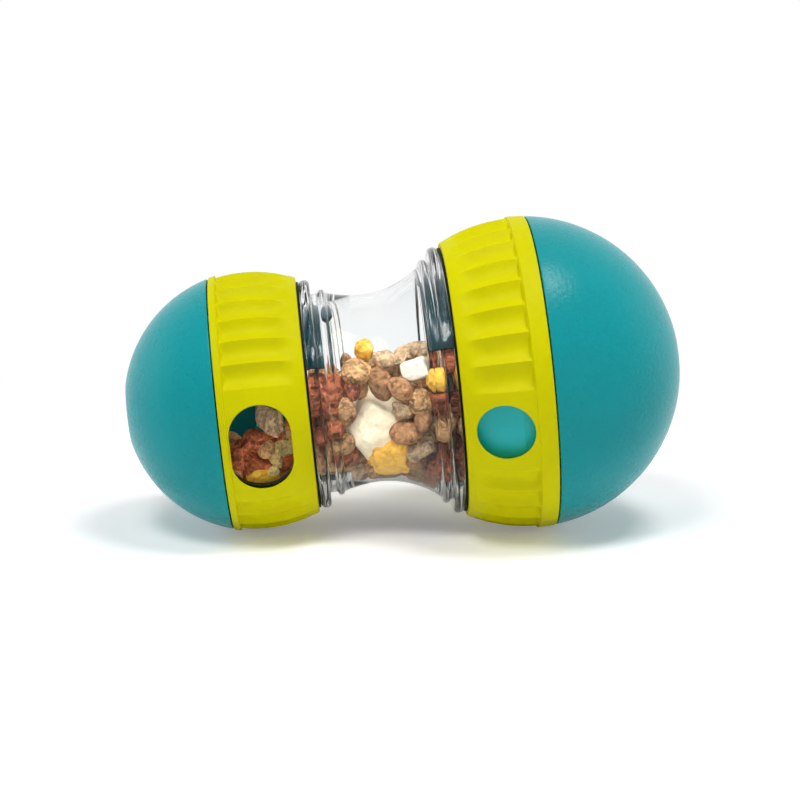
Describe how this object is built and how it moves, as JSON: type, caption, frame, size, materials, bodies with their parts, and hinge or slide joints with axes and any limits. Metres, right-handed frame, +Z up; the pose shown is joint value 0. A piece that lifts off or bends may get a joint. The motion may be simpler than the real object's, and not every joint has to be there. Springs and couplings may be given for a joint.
{
  "type": "treat dispensing toy",
  "caption": "Rolling treat dispenser for pets: a clear hourglass chamber between a small and a large ball end, with fluted collars that turn to open or shut an outlet.",
  "frame": {"origin": "middle of the toy's outline on the floor that it lies on", "axes": "+Z up from the floor, +X along the toy towards the large end, -Y the side with the outlets"},
  "size_m": [0.1778, 0.1006, 0.1004],
  "materials": {
    "clear_shell": "clear moulded plastic, polished",
    "teal_shell": "satin moulded plastic with a fine grain",
    "yellow_collar": "satin moulded plastic",
    "dark_seal": "smooth dark rubber"
  },
  "bodies": {
    "waist": {"waist": "clear_shell"},
    "small_seal": {"small_seal": "dark_seal"},
    "small_cap": {"small_sleeve": "teal_shell", "small_dome": "teal_shell"},
    "small_collar": {"small_collar": "yellow_collar"},
    "large_seal": {"large_seal": "dark_seal"},
    "large_cap": {"large_sleeve": "teal_shell", "large_dome": "teal_shell"},
    "large_collar": {"large_collar": "yellow_collar"}
  },
  "joints": [
    {"name": "small_cap_unscrew", "type": "hinge", "parent": "waist", "child": "small_seal", "pos_m": [-0.04717, 0, 0.04179], "axis": [-0.9953, 0, -0.0966], "range_deg": [0, 180]},
    {"name": "small_cap_lift", "type": "slide", "parent": "small_seal", "child": "small_cap", "axis": [-0.9953, 0, -0.0966], "range_m": [0, 0.0066]},
    {"name": "small_gate_turn", "type": "hinge", "parent": "small_cap", "child": "small_collar", "pos_m": [-0.04717, 0, 0.04179], "axis": [-0.9953, 0, -0.0966], "continuous": true},
    {"name": "large_cap_unscrew", "type": "hinge", "parent": "waist", "child": "large_seal", "pos_m": [0.03892, 0, 0.05014], "axis": [0.9953, 0, 0.0966], "range_deg": [0, 180]},
    {"name": "large_cap_lift", "type": "slide", "parent": "large_seal", "child": "large_cap", "axis": [0.9953, 0, 0.0966], "range_m": [0, 0.0066]},
    {"name": "large_gate_turn", "type": "hinge", "parent": "large_cap", "child": "large_collar", "pos_m": [0.03892, 0, 0.05014], "axis": [0.9953, 0, 0.0966], "continuous": true}
  ],
  "couplings": [
    {"joint": "small_cap_lift", "follows": "small_cap_unscrew", "m_per_rad": 0.002069},
    {"joint": "large_cap_lift", "follows": "large_cap_unscrew", "m_per_rad": 0.002069}
  ]
}
